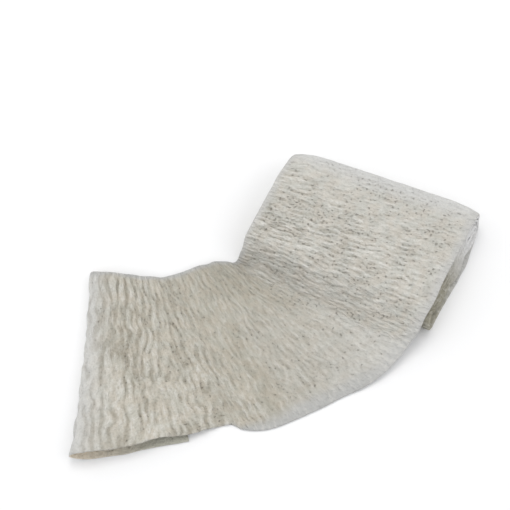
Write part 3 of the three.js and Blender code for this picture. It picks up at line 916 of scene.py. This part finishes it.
def plain_colour(n, at):
    """The cloth's own colour, without its crests, troughs and pinholes."""
    mottle = n.add("ShaderNodeTexNoise", {"Vector": at["flat"], "Scale": MOTTLE_SCALE, "Detail": 2.0})
    tint = n.mix(n.ramp(mottle.outputs[0], "warm to green"), WARM_TINT, GREEN_TINT)
    # Painted shade on the sweep, where the loose end curves round over the floor
    colour = n.mix(n.ramp(at["along"], "panel to shaded sweep"), CREPE_COLOUR, SHADED_SWEEP_COLOUR)
    # On the roll: less creamy, and a little lighter with painted light
    colour = n.mix(at["on_roll"], colour, ROLL_TONE_AND_LIGHT_COLOUR)
    colour = n.mix(1.0, colour, tint, blend="MULTIPLY")
    # Lighter, cooler colour where a fold or weak ridges draw the crinkle out, partly painted light
    smooth = n.math("MAXIMUM", n.ramp(at["strength"], "smooth"), n.times(at["smooth"], SMOOTH_SHARE))
    colour = n.mix(smooth, colour, SMOOTH_AND_LIT_COLOUR)
    # The smooth selvedge band, darker on the loose end with painted shade
    colour = n.mix(at["band"], colour, n.mix(at["on_roll"], SHADED_SWEEP_EDGE_COLOUR, ROLL_EDGE_COLOUR))
    # Painted shade and light on the roll's layered end, and on the near fold where it looks like one
    colour = n.mix(at["at_end"], colour, n.mix(at["smooth"], NEAR_END_COLOUR, FAR_END_COLOUR))
    # Painted warm bounce light inside the left fold, turning to painted shade towards the cut end
    inside = n.mix(n.ramp(at["along"], "cut end to fold"), FOLD_END_SHADE_COLOUR, FOLD_BOUNCE_LIGHT_COLOUR)
    return n.mix(at["inside"], colour, inside)


def on_roll_share(n, at, shares):
    loose, roll = shares
    return n.plus(loose, n.times(at["on_roll"], roll - loose))


# Painted highlights on the crests of the ridges and along fine threads
def crest_highlights_on(n, at, colour):
    crest = n.times(n.ramp(at["ridge"], "crest"), n.ramp(at["knots"], "crest knots"), at["relief"])
    colour = n.mix(n.times(crest, on_roll_share(n, at, CREST_HIGHLIGHT_SHARES)), colour, CREST_HIGHLIGHT_COLOUR)
    thread = n.times(n.ramp(at["fine"], "thread"), at["relief"], THREAD_HIGHLIGHT_SHARE)
    return n.mix(thread, colour, CREST_HIGHLIGHT_COLOUR)


# Painted shade in the troughs of the crinkle, with darker fine grain and grain
def trough_shade_and_grain_on(n, at, colour):
    trough = n.times(n.ramp(at["ridge"], "trough"), on_roll_share(n, at, TROUGH_SHADE_SHARES))
    shade = n.plus(
        n.times(trough, SHADES["trough"]),
        n.times(n.ramp(at["fine"], "fine trough"), SHADES["fine"]),
        n.times(n.ramp(at["grain"], "grain trough"), SHADES["grain"]),
    )
    return n.mix(n.times(shade, n.without(at["band"], BAND_CALM), at["relief"]), colour, TROUGH_SHADE_AND_GRAIN_COLOUR)


def pinholes(n, at):
    """Where the troughs have pinholes, from 0 to 1."""
    dash = n.plus(at["dashes"], n.times(at["holes"], HOLES_ADDED))
    hole = n.times(n.ramp(at["ridge"], "hole in trough"), n.ramp(dash, "hole"))
    return n.times(hole, n.without(n.math("MAXIMUM", at["band"], at["inside"])))


def crepe_material():
    n = Nodes("crepe_cotton")
    at = read_facts(n)
    hole = pinholes(n, at)
    colour = trough_shade_and_grain_on(n, at, crest_highlights_on(n, at, plain_colour(n, at)))
    colour = n.mix(n.times(hole, HOLE_SHARE), colour, HOLE_COLOUR)
    height = n.plus(*(n.times(at[name], HEIGHTS[name]) for name in ("fine", "grain", "knots")))
    height = n.less(height, n.times(hole, HEIGHTS["hole"]))
    bump = n.add("ShaderNodeBump", {"Height": height, "Distance": BUMP_HEIGHT, "Strength": 1.0})
    surface = n.add("ShaderNodeBsdfPrincipled", {
        "Base Color": colour, "Roughness": 0.92, "Specular IOR Level": 0.2,
        "Sheen Weight": 0.12, "Sheen Roughness": 0.6, "Normal": bump.outputs[0],
    })
    n.add("ShaderNodeOutputMaterial", {"Surface": surface.outputs[0]})
    return n.material


CREPE = crepe_material()
for piece, length, rests_on in (
    (outer_cloth, outer_length, ["inner_turns"]),
    (under_cloth, under_length, ["outer_cloth"]),
    (wound_cloth, wound_length, ["under_cloth"]),
):
    piece.data.materials.append(CREPE)
    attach(piece, "root")
    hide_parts("bandage")

# Floor and light, in metres

FLOOR_HALF = 3.0
FLOOR_COLOUR = (0.92, 0.92, 0.92, 1)
SKY_COLOUR = (0.97, 0.98, 1.0, 1)
SKY_STRENGTH = 0.74

# Each light's name, its place, its size, its power in watts and its colour

LIGHTS = [
    ("key", (-0.05, 0.3, 0.65), 0.35, 1.4, (1.0, 0.985, 0.96)),
    ("right fill", (0.6, 0.0, 0.45), 0.8, 1.2, (1.0, 0.99, 0.98)),
    ("left fill", (-0.4, 0.0, 0.35), 0.6, 0.6, (1.0, 0.99, 0.98)),
]


def add_floor():
    mesh = bpy.data.meshes.new("floor")
    corners = [(x * FLOOR_HALF, y * FLOOR_HALF, 0) for x, y in ((-1, -1), (1, -1), (1, 1), (-1, 1))]
    mesh.from_pydata(corners, [], [(0, 1, 2, 3)])
    floor = bpy.data.objects.new("floor", mesh)
    bpy.context.collection.objects.link(floor)
    n = Nodes("floor")
    surface = n.add("ShaderNodeBsdfPrincipled", {
        "Base Color": FLOOR_COLOUR, "Roughness": 0.9, "Specular IOR Level": 0.1,
    })
    n.add("ShaderNodeOutputMaterial", {"Surface": surface.outputs[0]})
    mesh.materials.append(n.material)


def add_light(name, place, size, watts, colour):
    data = bpy.data.lights.new(name, "AREA")
    data.size = size
    data.energy = watts
    data.color = colour
    light = bpy.data.objects.new(name, data)
    light.location = place
    light.rotation_mode = "QUATERNION"
    light.rotation_quaternion = (-Vector(place)).to_track_quat("-Z", "Y")
    bpy.context.collection.objects.link(light)


def add_sky():
    world = bpy.data.worlds.new("studio")
    world.use_nodes = True
    sky = world.node_tree.nodes["Background"]
    sky.inputs["Color"].default_value = SKY_COLOUR
    sky.inputs["Strength"].default_value = SKY_STRENGTH
    bpy.context.scene.world = world


add_floor()
for row in LIGHTS:
    add_light(*row)
add_sky()
bpy.context.scene.view_settings.view_transform = "Standard"
